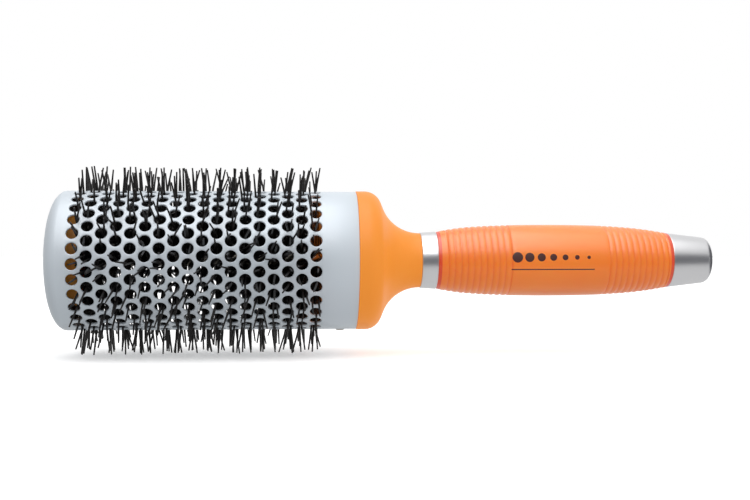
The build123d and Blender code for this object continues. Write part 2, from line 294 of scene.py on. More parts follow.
def shader_group(name, inputs, outputs):
    """A shader node group with its sockets, made once."""
    group = bpy.data.node_groups.new(name, "ShaderNodeTree")
    for label, kind, default in inputs:
        socket = group.interface.new_socket(label, in_out="INPUT", socket_type=kind)
        if default is not None:
            socket.default_value = default
    for label, kind in outputs:
        group.interface.new_socket(label, in_out="OUTPUT", socket_type=kind)
    return group, group.nodes.new("NodeGroupInput"), group.nodes.new("NodeGroupOutput")


def mottle_group():
    """Soft cloudy variation between two colours, and of a roughness around its middle."""
    group, start, end = shader_group(
        "Brush Mottle",
        [
            ("Vector", "NodeSocketVector", None),
            ("Scale", "NodeSocketFloat", 60.0),
            ("Colour", "NodeSocketColor", (0.8, 0.8, 0.8, 1)),
            ("Tint", "NodeSocketColor", (0.7, 0.7, 0.7, 1)),
            ("Roughness", "NodeSocketFloat", 0.4),
            ("Spread", "NodeSocketFloat", 0.05),
        ],
        [("Colour", "NodeSocketColor"), ("Roughness", "NodeSocketFloat")],
    )
    nodes, links = group.nodes, group.links
    noise = nodes.new("ShaderNodeTexNoise")
    noise.inputs["Detail"].default_value = 3.0
    links.new(start.outputs["Vector"], noise.inputs["Vector"])
    links.new(start.outputs["Scale"], noise.inputs["Scale"])
    mix = nodes.new("ShaderNodeMix")
    mix.data_type = "RGBA"
    links.new(noise.outputs["Fac"], mix.inputs["Factor"])
    links.new(start.outputs["Colour"], mix.inputs["A"])
    links.new(start.outputs["Tint"], mix.inputs["B"])
    links.new(mix.outputs["Result"], end.inputs["Colour"])
    centred = nodes.new("ShaderNodeMath")
    centred.operation = "SUBTRACT"
    centred.inputs[1].default_value = 0.5
    links.new(noise.outputs["Fac"], centred.inputs[0])
    spread = nodes.new("ShaderNodeMath")
    spread.operation = "MULTIPLY_ADD"
    links.new(centred.outputs[0], spread.inputs[0])
    links.new(start.outputs["Spread"], spread.inputs[1])
    links.new(start.outputs["Roughness"], spread.inputs[2])
    links.new(spread.outputs[0], end.inputs["Roughness"])
    return group


def grain_group():
    """Fine surface grain as a normal: orange peel, moulding texture or turning marks."""
    group, start, end = shader_group(
        "Brush Grain",
        [
            ("Vector", "NodeSocketVector", None),
            ("Scale", "NodeSocketFloat", 1500.0),
            ("Detail", "NodeSocketFloat", 2.0),
            ("Strength", "NodeSocketFloat", 0.3),
            ("Depth", "NodeSocketFloat", 0.00002),
        ],
        [("Normal", "NodeSocketVector"), ("Mask", "NodeSocketFloat")],
    )
    nodes, links = group.nodes, group.links
    noise = nodes.new("ShaderNodeTexNoise")
    for label in ("Vector", "Scale", "Detail"):
        links.new(start.outputs[label], noise.inputs[label])
    bump = nodes.new("ShaderNodeBump")
    links.new(start.outputs["Strength"], bump.inputs["Strength"])
    links.new(start.outputs["Depth"], bump.inputs["Distance"])
    links.new(noise.outputs["Fac"], bump.inputs["Height"])
    links.new(bump.outputs["Normal"], end.inputs["Normal"])
    links.new(noise.outputs["Fac"], end.inputs["Mask"])
    return group


def shared_group(maker, name):
    """A shader group, made the first time that it is asked for."""
    return bpy.data.node_groups.get(name) or maker()


# Materials -------------------------------------------------------------------------------------------


class Finish:
    """A material under construction: a Principled shader, object coordinates and the shared groups."""

    def __init__(self, name, **numbers):
        self.material = bpy.data.materials.new(name)
        self.material.use_nodes = True
        tree = self.material.node_tree
        self.nodes, self.links = tree.nodes, tree.links
        self.nodes.clear()
        output = self.nodes.new("ShaderNodeOutputMaterial")
        self.shader = self.nodes.new("ShaderNodeBsdfPrincipled")
        self.links.new(self.shader.outputs["BSDF"], output.inputs["Surface"])
        self.coordinates = self.nodes.new("ShaderNodeTexCoord").outputs["Object"]
        for label, value in numbers.items():
            self.shader.inputs[label.replace("_", " ")].default_value = value

    def mapping(self, scale):
        """Object coordinates stretched along the axes."""
        node = self.nodes.new("ShaderNodeMapping")
        node.inputs["Scale"].default_value = scale
        self.links.new(self.coordinates, node.inputs["Vector"])
        return node.outputs["Vector"]

    def group(self, maker, name, vector, **values):
        """A shared group placed in this material with its own values."""
        node = self.nodes.new("ShaderNodeGroup")
        node.node_tree = shared_group(maker, name)
        self.links.new(vector, node.inputs["Vector"])
        for label, value in values.items():
            node.inputs[label].default_value = value
        return node

    def mottle(self, base, tint, scale, roughness, spread, stretch=(1, 1, 1)):
        """Cloudy colour and roughness into the shader."""
        node = self.group(
            mottle_group,
            "Brush Mottle",
            self.mapping(stretch),
            Scale=scale,
            Colour=(*base, 1),
            Tint=(*tint, 1),
            Roughness=roughness,
            Spread=spread,
        )
        self.links.new(node.outputs["Colour"], self.shader.inputs["Base Color"])
        self.links.new(node.outputs["Roughness"], self.shader.inputs["Roughness"])
        return node

    def grain(self, scale, strength, depth, detail=2.0, stretch=(1, 1, 1)):
        """Fine grain into the shader's normal."""
        node = self.group(
            grain_group,
            "Brush Grain",
            self.mapping(stretch),
            Scale=scale,
            Strength=strength,
            Depth=depth,
            Detail=detail,
        )
        self.links.new(node.outputs["Normal"], self.shader.inputs["Normal"])
        return node

    def distance(self, across, up):
        """Length of a vector in the plane."""
        squares = (self.math("POWER", across, 2.0), self.math("POWER", up, 2.0))
        return self.math("SQRT", self.math("ADD", *squares))

    def mix(self, mask, below, above):
        """A flat colour above another colour, where the mask is 1."""
        node = self.nodes.new("ShaderNodeMix")
        node.data_type = "RGBA"
        self.links.new(mask, node.inputs["Factor"])
        self.links.new(below, node.inputs["A"])
        node.inputs["B"].default_value = (*above, 1)
        return node.outputs["Result"]

    def math(self, operation, *values):
        """A Math node on sockets or numbers."""
        node = self.nodes.new("ShaderNodeMath")
        node.operation = operation
        for socket, value in zip(node.inputs, values):
            if isinstance(value, (int, float)):
                socket.default_value = value
            else:
                self.links.new(value, socket)
        return node.outputs[0]


def scaled(shade, factor):
    """A colour made lighter or darker."""
    return tuple(min(1.0, part * factor) for part in shade)


def coating_material(settings):
    """Satin ceramic coating over metal: pale, cool and slightly cloudy, with a fine orange peel."""
    finish = Finish(
        "barrel_coating", Metallic=0.05, Specular_IOR_Level=0.45
    )
    finish.mottle(settings.coat, settings.coat_tint, 45.0, 0.42, 0.08)
    finish.grain(1400.0, 0.25, 0.01 * MM)
    return finish.material


def plastic_material(name, base, roughness, subsurface, glow):
    """Moulded plastic with a fine moulding texture. Glow is the strength of its emission."""
    finish = Finish(name, Subsurface_Weight=subsurface, Subsurface_Scale=1.5 * MM, Specular_IOR_Level=0.2)
    finish.shader.inputs["Emission Color"].default_value = (*base, 1)
    finish.shader.inputs["Emission Strength"].default_value = glow
    finish.shader.inputs["Subsurface Radius"].default_value = (1.0, 0.35, 0.1)
    finish.mottle(base, scaled(base, 0.93), 35.0, roughness, 0.08)
    finish.grain(1800.0, 0.2, 0.01 * MM)
    return finish.material


def plug_material(settings):
    """Orange plastic on the face and the guard, with painted shade, a flat dark colour, on the hidden cup
    round them.
    """
    finish = Finish("plug_plastic", Subsurface_Weight=0.15, Subsurface_Scale=1.5 * MM, Specular_IOR_Level=0.2)
    finish.shader.inputs["Subsurface Radius"].default_value = (1.0, 0.35, 0.1)
    mottle = finish.mottle(settings.plug, scaled(settings.plug, 0.85), 60.0, 0.42, 0.08)
    finish.grain(1800.0, 0.2, 0.01 * MM)
    place = finish.nodes.new("ShaderNodeSeparateXYZ")
    finish.links.new(finish.coordinates, place.inputs[0])
    away = finish.distance(place.outputs["Y"], place.outputs["Z"])
    # Painted shade: past the guard's radius the cup gets the flat dark colour
    cup = finish.math("GREATER_THAN", away, settings.guard_radius + 0.5 * MM)
    base = finish.mix(cup, mottle.outputs["Colour"], settings.painted_cup_shade)
    finish.links.new(base, finish.shader.inputs["Base Color"])
    return finish.material


def nylon_material(settings):
    """Black nylon, a little brown, lighter in soft patches at random."""
    finish = Finish("bristle_nylon", Specular_IOR_Level=0.18)
    finish.mottle(settings.nylon, scaled(settings.nylon, 4.0), 180.0, 0.42, 0.2)
    finish.grain(4000.0, 0.2, 0.01 * MM)
    return finish.material


def metal_material(name, base, roughness, grain_depth):
    """Satin metal with fine turning marks round the axis."""
    finish = Finish(name, Metallic=1.0)
    finish.mottle(base, scaled(base, 0.96), 400.0, roughness, 0.04, stretch=(6.0, 0.0, 0.0))
    finish.grain(900.0, 0.1, grain_depth, detail=2.0, stretch=(8.0, 0.0, 0.0))
    return finish.material


# Pieces ----------------------------------------------------------------------------------------------


def hole_tile(settings):
    """One flat tile of perforated sheet: X along the barrel, Y around it, and the outer face at Z = 0."""
    bm = bmesh.new()
    bmesh.ops.create_grid(bm, x_segments=TILE_SEGMENTS, y_segments=TILE_SEGMENTS, size=0.5)
    inner = [v for v in bm.verts if max(abs(v.co.x), abs(v.co.y)) < 0.5 - WELD]
    bmesh.ops.delete(bm, geom=inner, context="VERTS")
    around = BARREL_RADIUS * HOLE_STEP
    bmesh.ops.scale(bm, vec=(COLUMN_PITCH, around, 1), verts=bm.verts)
    hole, rim = settings.hole_diameter / 2, settings.rim_round
    circle = bmesh.ops.create_circle(bm, segments=4 * TILE_SEGMENTS, radius=hole + rim)["verts"]
    ring = [e for e in bm.edges if e.verts[0] in circle and e.verts[1] in circle]
    bmesh.ops.bridge_loops(bm, edges=bm.edges[:])
    back = bmesh.ops.duplicate(bm, geom=bm.verts[:] + bm.edges[:] + bm.faces[:])["geom"]
    back_verts = [part for part in back if isinstance(part, bmesh.types.BMVert)]
    bmesh.ops.translate(bm, vec=(0, 0, -settings.wall), verts=back_verts)
    stations = [(hole + rim * (1 - sin(a)), rim * (cos(a) - 1)) for a in (pi / 6, pi / 3, pi / 2)]
    stations += [(hole, -settings.wall + rim), (hole + rim, -settings.wall)]
    radius = hole + rim
    for new_radius, height in stations:
        ring_verts, ring = extrude_ring(bm, ring)
        bmesh.ops.scale(bm, vec=(new_radius / radius, new_radius / radius, 1), verts=ring_verts)
        for vert in ring_verts:
            vert.co.z = height
        radius = new_radius
    bmesh.ops.remove_doubles(bm, verts=bm.verts, dist=WELD)
    return bm


def extrude_ring(bm, edges):
    """Extrude a ring of edges in place, and return the new ring's vertices and edges."""
    made = bmesh.ops.extrude_edge_only(bm, edges=edges)["geom"]
    verts = [part for part in made if isinstance(part, bmesh.types.BMVert)]
    return verts, [part for part in made if isinstance(part, bmesh.types.BMEdge)]


def run_ring(bm, edges, stations):
    """Carry a ring of edges about the X axis through stations of (x, radius)."""
    for x, radius in stations:
        verts, edges = extrude_ring(bm, edges)
        for vert in verts:
            across = Vector((0, vert.co.y, vert.co.z)).normalized() * radius
            vert.co = (x, across.y, across.z)


def wrap(bm):
    """Roll a flat sheet round the X axis."""
    for vert in bm.verts:
        angle, radius = vert.co.y / BARREL_RADIUS, BARREL_RADIUS + vert.co.z
        vert.co.y, vert.co.z = radius * cos(angle), radius * sin(angle)


def barrel_mesh(settings):
    """The perforated tube with its rounded nose and its plain rear band, one closed shell."""
    tile = hole_tile(settings)
    tile_mesh = bpy.data.meshes.new("hole_tile")
    tile.to_mesh(tile_mesh)
    tile.free()
    bm = bmesh.new()
    for column in range(ROWS):
        for hole in range(HOLES_AROUND):
            first = len(bm.verts)
            bm.from_mesh(tile_mesh)
            bm.verts.ensure_lookup_table()
            place = (column_x(column), hole_angle(column, hole) * BARREL_RADIUS, 0)
            bmesh.ops.translate(bm, vec=place, verts=bm.verts[first:])
    bpy.data.meshes.remove(tile_mesh)
    wrap(bm)
    bmesh.ops.remove_doubles(bm, verts=bm.verts, dist=10 * WELD)
    wall, inner = settings.wall, BARREL_RADIUS - settings.wall
    front, back = column_x(-0.5), column_x(ROWS - 0.5)
    nose = nose_arc(settings, settings.nose_depth, settings.nose_inset)
    mouth = nose[-1][1] - settings.lip_width
    lip = [(0.0, mouth), (wall, mouth)]
    inside = nose_arc(settings, settings.nose_depth - wall, settings.nose_inset - wall)
    run_ring(bm, open_ring(bm, front), nose + lip + inside[::-1] + [(front, inner)])
    edge = 0.2 * MM
    run_ring(
        bm,
        open_ring(bm, back),
        [
            (SEAM_X - edge, BARREL_RADIUS),
            (SEAM_X, BARREL_RADIUS - edge),
            (SEAM_X, inner),
            (back, inner),
        ],
    )
    bmesh.ops.remove_doubles(bm, verts=bm.verts, dist=10 * WELD)
    bmesh.ops.recalc_face_normals(bm, faces=bm.faces)
    return bm


def nose_arc(settings, depth, drop, end=pi / 2, steps=8):
    """(x, radius) along an ellipse about the nose's centre, from the tube's side towards the flat front."""
    centre = BARREL_RADIUS - settings.nose_inset
    turns = [end * k / steps for k in range(steps + 1)]
    return [(settings.nose_depth - depth * sin(a), centre + drop * cos(a)) for a in turns]


def open_ring(bm, x):
    """The outer open ring of edges at a place along the axis."""
    inside = BARREL_RADIUS - WELD * 10
    return [
        edge
        for edge in bm.edges
        if edge.is_boundary
        and all(abs(v.co.x - x) < WELD * 10 and v.co.yz.length > inside for v in edge.verts)
    ]


class BRUSH_OT_barrel(bpy.types.Operator):
    """Build the vented barrel with its coating"""

    bl_idname = "brush.barrel"
    bl_label = "Barrel"

    def execute(self, context):
        settings = context.scene.brush_barrel
        coating = coating_material(settings)
        finish_piece(
            barrel_mesh(settings), "barrel", coating, ["barrel_tube"], sharp=50
        )
        return {"FINISHED"}


class BRUSH_OT_front_plug(bpy.types.Operator):
    """Build the plug that closes the barrel's mouth"""

    bl_idname = "brush.front_plug"
    bl_label = "Front plug"

    def execute(self, context):
        settings = context.scene.brush_barrel
        plastic = plug_material(settings)
        gap, sheet, floor_x = 0.1 * MM, 1.0 * MM, 3.0 * MM
        skirt = BARREL_RADIUS - settings.wall - gap
        cup = skirt - sheet
        edge = BARREL_RADIUS - settings.nose_inset
        mouth = edge - settings.lip_width - gap
        behind_lip = settings.wall + gap
        skirt_end = FIRST_COLUMN_X - settings.hole_diameter / 2 - 2.5 * MM
        guard, guard_end = settings.guard_radius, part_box("front_plug")[1].x
        hub, socket, hub_end = 5.3 * MM, 3.5 * MM, 8.9 * MM
        meet = acos((guard - edge) / (cup - edge))
        outside = nose_arc(settings, settings.nose_depth - behind_lip, skirt - edge)
        inside = nose_arc(settings, settings.nose_depth - floor_x, cup - edge, end=meet)
        outline = [
            (0.0, 0.0, 0),
            (0.0, mouth, 0.25 * MM),
            (behind_lip, mouth, 0),
            *[(x, radius, 0) for x, radius in reversed(outside)],
            (skirt_end, skirt, 0.2 * MM),
            (skirt_end, cup, 0.2 * MM),
            *[(x, radius, 0) for x, radius in inside],
            (guard_end, guard, 0.3 * MM),
            (guard_end, guard - sheet, 0.3 * MM),
            (floor_x, guard - sheet, 0),
            (floor_x, hub, 0.3 * MM),
            (hub_end, hub, 0.3 * MM),
            (hub_end, socket, 0.2 * MM),
            (2.0 * MM, socket, 0),
            (2.0 * MM, 0.0, 0),
        ]
        finish_piece(lathe(rounded(outline)), "plug", plastic, ["front_plug"])
        return {"FINISHED"}


def filament_mesh(sides, segments):
    """One straight filament of unit radius and unit length along Z, with flat ends, cut into segments along
    its length.
    """
    bm = bmesh.new()
    bmesh.ops.create_cone(
        bm, cap_ends=True, segments=sides, radius1=1.0, radius2=1.0, depth=1.0,
        matrix=Matrix.Translation((0, 0, 0.5)),
    )
    for cut in range(1, segments):
        bmesh.ops.bisect_plane(
            bm,
            geom=bm.verts[:] + bm.edges[:] + bm.faces[:],
            plane_co=(0, 0, cut / segments),
            plane_no=(0, 0, 1),
        )
    mesh = bpy.data.meshes.new("filament")
    bm.to_mesh(mesh)
    bm.free()
    return mesh


def through(root, middle, tip, bend_at):
    """A smooth line from root to tip that passes through middle at the share bend_at."""

    def point(t):
        a = (t - bend_at) * (t - 1) / bend_at
        b = t * (t - 1) / (bend_at * (bend_at - 1))
        c = t * (t - bend_at) / (1 - bend_at)
        return root * a + middle * b + tip * c

    return point


def add_filament(bm, shape, line, radius, tip_share=0.04):
    """Bend a copy of the straight filament along a line. Its tip narrows over its last bit."""
    first = len(bm.verts)
    bm.from_mesh(shape)
    bm.verts.ensure_lookup_table()
    along = (line(1.0) - line(0.0)).normalized()
    side = along.orthogonal().normalized()
    other = along.cross(side)
    for vert in bm.verts[first:]:
        t = vert.co.z
        size = radius * (0.72 if t > 1 - tip_share else 1.0)
        vert.co = line(t) + (side * vert.co.x + other * vert.co.y) * size


def polar(x, radius, angle):
    """A point by its place along the axis, its distance from it and its angle round it."""
    return Vector((x, radius * cos(angle), radius * sin(angle)))


def root_x(column, angle, rng):
    """Where on the twisted wire a filament leaves it: each half turn serves one column of holes."""
    turn = 0.5 - (angle % pi) / pi
    behind_guard = 1.9 * MM if column == 0 else 0.0
    return column_x(column) + behind_guard + turn * COLUMN_PITCH + rng.uniform(-0.35, 0.35) * MM


def outer_line(settings, column, angle, rng):
    """A filament that passes a hole: where it crosses the sheet, how far it reaches and how it leans."""
    slack = settings.slack
    side = rng.uniform(-slack, slack)
    room = (slack**2 - side**2) ** 0.5
    exit_x = column_x(column) + rng.uniform(-room, room)
    if column == 0:
        exit_x = column_x(column) + rng.uniform(1.0, 1.6) * MM
        side *= 0.5
    exit_angle = angle + side / BARREL_RADIUS
    root = polar(root_x(column, angle, rng), settings.root_radius, angle + rng.uniform(-0.25, 0.25))
    middle = polar(exit_x, BARREL_RADIUS, exit_angle)
    reach = TIP_RADIUS - settings.diameter / 2 - abs(rng.gauss(0.0, 0.75)) * MM
    height = reach - BARREL_RADIUS
    lean_x = (exit_x - root.x) * height / (BARREL_RADIUS - settings.root_radius)
    lean_x += rng.gauss(0.0, 0.11) * height
    lean_round = rng.gauss(0.0, 0.10) * height
    tip = polar(exit_x + lean_x, reach, exit_angle + lean_round / reach)
    return through(root, middle, tip, (BARREL_RADIUS - settings.root_radius) / (reach - settings.root_radius))


def inner_line(settings, column, angle, rng):
    """A filament that misses the holes and stays inside, curled against the sheet."""
    inside = BARREL_RADIUS - 1.0 * MM - settings.diameter
    start = angle + rng.uniform(-0.5, 0.5)
    x = root_x(column, start, rng)
    clear = column_x(0) + 1.2 * MM
    if column == 0:
        x = max(x, clear)
    root = polar(x, settings.root_radius, start)
    middle = polar(x + rng.uniform(-0.6, 1.0) * MM, inside * 0.6, start + rng.uniform(-0.05, 0.05))
    end_x = max(x + rng.uniform(-1.8, 1.8) * MM, clear)
    tip = polar(end_x, inside - rng.uniform(0.0, 2.0) * MM, start + rng.uniform(-0.16, 0.16))
    return through(root, middle, tip, 0.55)


class BRUSH_OT_bristles(bpy.types.Operator):
    """Grow the filaments of every row out of the twisted wire"""

    bl_idname = "brush.bristles"
    bl_label = "Bristles"

    def execute(self, context):
        settings = context.scene.brush_bristles
        nylon = nylon_material(settings)
        shape = filament_mesh(6, 5)
        for row in range(ROWS):
            rng = Random(settings.seed * 100 + row)
            bm = bmesh.new()
            for hole in range(HOLES_AROUND):
                angle = hole_angle(row, hole)
                draw = rng.random()
                count = 0 if draw < settings.empty else 2 if draw > 1 - settings.double else 1
                for _ in range(count):
                    line = outer_line(settings, row, angle, rng)
                    add_filament(bm, shape, line, settings.diameter / 2)
                for _ in range(settings.inner):
                    line = inner_line(settings, row, angle, rng)
                    add_filament(bm, shape, line, settings.diameter / 2)
            name = f"filaments_{row + 1:02d}"
            finish_piece(bm, name, nylon, [row_node(row)], sharp=60)
        bpy.data.meshes.remove(shape)
        return {"FINISHED"}


class BRUSH_OT_wire_core(bpy.types.Operator):
    """Finish the twisted wire and the ferrules on its ends"""

    bl_idname = "brush.wire_core"
    bl_label = "Wire core"

    def execute(self, context):
        settings = context.scene.brush_bristles
        wire = metal_material("core_wire", settings.wire, 0.38, 0.01 * MM)
        brass = metal_material("ferrule_metal", settings.ferrule, 0.35, 0.01 * MM)
        for node in ("wire_strand_a", "wire_strand_b"):
            dress(node, wire)
        for node in ("front_ferrule", "rear_ferrule"):
            dress(node, brass)
        return {"FINISHED"}


class BRUSH_OT_neck(bpy.types.Operator):
    """Turn the tapered neck between barrel and handle"""

    bl_idname = "brush.neck"
    bl_label = "Neck"

    def execute(self, context):
        settings = context.scene.brush_handle
        plastic = plastic_material("neck_plastic", settings.neck, 0.45, 0.2, settings.neck_glow)
        low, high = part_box("neck_shell")
        shoulder, end_radius, bore = high.y, 10.55 * MM, 7.6 * MM
        shoulder_round, throat_round = 6.5 * MM, 15.6 * MM
        slope = tan(radians(67.3))
        shoulder_x = SEAM_X + 7.7 * MM
        throat_x = shoulder_x + (shoulder - end_radius) / slope
        spigot, spigot_bore = BARREL_RADIUS - 1.1 * MM, BARREL_RADIUS - 3.1 * MM
        seat_x = throat_x - 1.5 * MM
        seat = 9.0 * MM
        outline = [
            (SEAM_X + 0.05 * MM, shoulder, 0.2 * MM),
            (shoulder_x, shoulder, shoulder_round),
            (throat_x, end_radius, throat_round),
            (high.x, end_radius, 0.2 * MM),
            (high.x, bore, 0),
            (seat_x, bore, 0),
            (seat_x, seat, 0),
            (shoulder_x - 0.5 * MM, spigot_bore, 4.0 * MM),
            (low.x, spigot_bore, 0.3 * MM),
            (low.x, spigot, 0.3 * MM),
            (SEAM_X + 0.05 * MM, spigot, 0),
        ]
        points = rounded(outline, steps=12)
        finish_piece(lathe(points, 160), "neck", plastic, ["neck_shell"])
        return {"FINISHED"}


class BRUSH_OT_rivet(bpy.types.Operator):
    """Form the rivet that fixes the barrel to the neck"""

    bl_idname = "brush.rivet"
    bl_label = "Rivet"

    def execute(self, context):
        steel = metal_material("rivet_steel", context.scene.brush_handle.rivet, 0.42, 0.01 * MM)
        low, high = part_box("barrel_rivet")
        head, shank = (high.x - low.x) / 2, 1.0 * MM
        top, under = BARREL_RADIUS, high.z - 0.6 * MM
        rise = -low.z - top
        outline = [
            (low.z, 0.0, 0),
            (low.z, head, rise * 0.8),
            (low.z + rise, head, 0),
            (low.z + rise, shank, 0),
            (under, shank, 0),
            (under, head, 0),
            (high.z, head, 0.3 * MM),
            (high.z, 0.0, 0),
        ]
        bm = lathe(rounded(outline, steps=5), steps=48)
        bmesh.ops.rotate(bm, cent=(0, 0, 0), matrix=Matrix.Rotation(-pi / 2, 3, "Y"), verts=bm.verts)
        bmesh.ops.translate(bm, vec=((low.x + high.x) / 2, 0, 0), verts=bm.verts)
        finish_piece(bm, "rivet", steel, ["barrel_rivet"])
        return {"FINISHED"}


class BRUSH_OT_metal_trim(bpy.types.Operator):
    """Turn the collar ring and the end cap"""

    bl_idname = "brush.metal_trim"
    bl_label = "Metal trim"

    def execute(self, context):
        metal = metal_material("satin_metal", context.scene.brush_handle.metal, 0.34, 0.006 * MM)
        low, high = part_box("collar_ring")
        bore, small, large = 7.7 * MM, 10.75 * MM, 11.15 * MM
        outline = [
            (low.x, bore, 0),
            (low.x, small, 0.3 * MM),
            (high.x, large, 0.3 * MM),
            (high.x, bore, 0),
        ]
        finish_piece(lathe(rounded(outline), 160), "collar", metal, ["collar_ring"])
        low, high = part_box("end_cap")
        taper, base, wall = 0.116, 3.3 * MM, 1.2 * MM
        end_radius = high.y - taper * (high.x - low.x)
        outline = [
            (high.x - base, 0.0, 0),
            (high.x - base, end_radius - wall, 0),
            (low.x, end_radius - wall, 0),
            (low.x, high.y, 0.2 * MM),
            (high.x, end_radius, 2.9 * MM),
            (high.x, 0.0, 0),
        ]
        finish_piece(lathe(rounded(outline, 10), 160), "cap", metal, ["end_cap"])
        return {"FINISHED"}


# The grip's outline, as distances from its front end
GRIP_LOW, GRIP_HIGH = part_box("gel_grip")
GRIP_RADIUS = GRIP_HIGH.z
GRIP_LENGTH = GRIP_HIGH.x - GRIP_LOW.x
BELLY = 43.7 * MM
RIB_PITCH = 2.4 * MM
RIBS = 10
RIB_FADE = 0.25
FRONT_RIBS = 3.8 * MM
REAR_RIBS = GRIP_LENGTH - 2.1 * MM - RIBS * RIB_PITCH


def grip_radius(distance):
    """Radius of the smooth grip at a distance from its front end: a long belly that dives at both ends."""
    if distance < BELLY:
        reach = (BELLY - distance) / BELLY
        return GRIP_RADIUS - (1.4 * reach**2 + 1.55 * reach**6) * MM
    reach = (distance - BELLY) / (GRIP_LENGTH - BELLY)
    return GRIP_RADIUS - (1.32 * reach**2 + 1.93 * reach**4) * MM


def rib_drop(distance, depth):
    """How far the ribbed surface lies under the smooth one: convex ribs that meet in sharp grooves."""
    for start in (FRONT_RIBS, REAR_RIBS):
        step = (distance - start) / RIB_PITCH
        if 0 <= step <= RIBS:
            return depth * (2 * (step - floor(step)) - 1) ** 2
        if -RIB_FADE < step < 0:
            return depth * (1 + step / RIB_FADE) ** 2
        if RIBS < step < RIBS + RIB_FADE:
            return depth * (1 - (step - RIBS) / RIB_FADE) ** 2
    return 0.0


def grip_stations(depth):
    """Distances along the grip, close together over its ribs, with its radius at each."""
    zones = []
    end = 0.0
    for ribs_start, smooth_steps in ((FRONT_RIBS, 12), (REAR_RIBS, 30)):
        ribs_from = ribs_start - RIB_FADE * RIB_PITCH
        zones.append((end, ribs_from, smooth_steps))
        end = ribs_start + (RIBS + RIB_FADE) * RIB_PITCH
        zones.append((ribs_from, end, 8 * RIBS + 4))
    zones.append((end, GRIP_LENGTH, 8))
    places = []
    for start, end, steps in zones:
        places += [start + (end - start) * k / steps for k in range(steps)]
    places.append(GRIP_LENGTH)
    return [(place, grip_radius(place) - rib_drop(place, depth)) for place in places]


def painted_groove_shade(finish, x, tint):
    """How much painted shade, in the deep rim colour, shows, from none on top of a rib to all of it in a
    groove.
    """
    mask = 0.0
    for zone in (FRONT_RIBS, REAR_RIBS):
        step = finish.math("DIVIDE", finish.math("SUBTRACT", x, GRIP_LOW.x + zone), RIB_PITCH)
        ends = (
            finish.math("GREATER_THAN", step, -RIB_FADE),
            finish.math("LESS_THAN", step, RIBS + RIB_FADE),
        )
        beside = finish.math("ABSOLUTE", finish.math("SUBTRACT", finish.math("FRACT", step), 0.5))
        groove = finish.math("POWER", finish.math("MULTIPLY", beside, 2.0), 3.0)
        shade = finish.math("MULTIPLY", groove, tint)
        mask = finish.math("MULTIPLY_ADD", shade, finish.math("MULTIPLY", *ends), mask)
    return mask


def print_mask(finish, x, y, z):
    """A row of dots that get smaller, over a thin rule, on the front of the grip."""
    start = GRIP_LOW.x + 27.5 * MM
    pitch, count = 4.6 * MM, 7
    largest, shrink = 2.0 * MM, 0.22 * MM
    dots_z, rule_z, rule_half = 1.2 * MM, -3.4 * MM, 0.22 * MM
    step = finish.math("DIVIDE", finish.math("SUBTRACT", x, start), pitch)
    index = finish.math("FLOOR", step)
    off_centre = finish.math("SUBTRACT", finish.math("SUBTRACT", step, index), 0.5)
    across = finish.math("MULTIPLY", off_centre, pitch)
    away = finish.distance(across, finish.math("SUBTRACT", z, dots_z))
    dot = finish.math("LESS_THAN", away, finish.math("MULTIPLY_ADD", index, -shrink, largest))
    row = (finish.math("GREATER_THAN", step, 0.0), finish.math("LESS_THAN", step, float(count)))
    inside = finish.math("MULTIPLY", *row)
    from_rule = finish.math("ABSOLUTE", finish.math("SUBTRACT", z, rule_z))
    rule = finish.math("LESS_THAN", from_rule, rule_half)
    marks = finish.math("MULTIPLY", finish.math("MAXIMUM", dot, rule), inside)
    return finish.math("MULTIPLY", marks, finish.math("LESS_THAN", y, 0.0))


def gel_material(settings):
    """Soft translucent gel with a printed row of dots over a thin rule."""
    finish = Finish(
        "grip_gel",
        Subsurface_Weight=0.75,
        Subsurface_Scale=2.5 * MM,
        Specular_IOR_Level=0.5,
        Coat_Weight=0.3,
        Coat_Roughness=0.2,
        Emission_Strength=settings.gel_glow,
    )
    finish.shader.inputs["Subsurface Radius"].default_value = (1.0, 0.3, 0.08)
    mottle = finish.mottle(settings.gel, settings.gel_deep, 25.0, 0.42, 0.08)
    finish.grain(1200.0, 0.15, 0.01 * MM)
    place = finish.nodes.new("ShaderNodeSeparateXYZ")
    finish.links.new(finish.coordinates, place.inputs[0])
    x, y, z = (place.outputs[k] for k in range(3))
    # Painted shade in the grooves between ribs
    grooves = painted_groove_shade(finish, x, settings.groove)
    ribbed = finish.mix(grooves, mottle.outputs["Colour"], settings.rim)
    printed = finish.mix(print_mask(finish, x, y, z), ribbed, settings.ink)
    # Painted light: the gel's ends get the deep rim colour
    from_middle = finish.math("ABSOLUTE", finish.math("SUBTRACT", x, (GRIP_LOW.x + GRIP_HIGH.x) / 2))
    rim = finish.math("GREATER_THAN", from_middle, GRIP_LENGTH / 2 - settings.painted_end_width)
    with_painted_ends = finish.mix(rim, printed, settings.rim)
    for socket in ("Base Color", "Emission Color"):
        finish.links.new(with_painted_ends, finish.shader.inputs[socket])
    return finish.material


class BRUSH_OT_grip(bpy.types.Operator):
    """Mould the ribbed gel grip over the handle's core"""

    bl_idname = "brush.grip"
    bl_label = "Gel grip"

    def execute(self, context):
        settings = context.scene.brush_handle
        gel = gel_material(settings)
        outer = [(GRIP_LOW.x + place, radius) for place, radius in grip_stations(settings.rib_depth)]
        thickness = 2.96 * MM
        steps = [GRIP_LENGTH * k / 24 for k in range(25)]
        inner = [(GRIP_LOW.x + step, grip_radius(step) - thickness) for step in reversed(steps)]
        finish_piece(lathe(outer + inner, 144), "grip", gel, ["gel_grip"], sharp=60)
        dress("handle_core", plastic_material("core_plastic", settings.core, 0.5, 0.1, settings.core_glow))
        return {"FINISHED"}


# Studio ----------------------------------------------------------------------------------------------


def stage_mesh(bm, name, material):
    """A finished object of the studio, which isn't part of the brush."""
    mesh = bpy.data.meshes.new(name)
    bm.to_mesh(mesh)
    bm.free()
    mesh.materials.append(material)
    mesh.shade_smooth()
    thing = bpy.data.objects.new(name, mesh)
    bpy.context.scene.collection.objects.link(thing)
    return thing


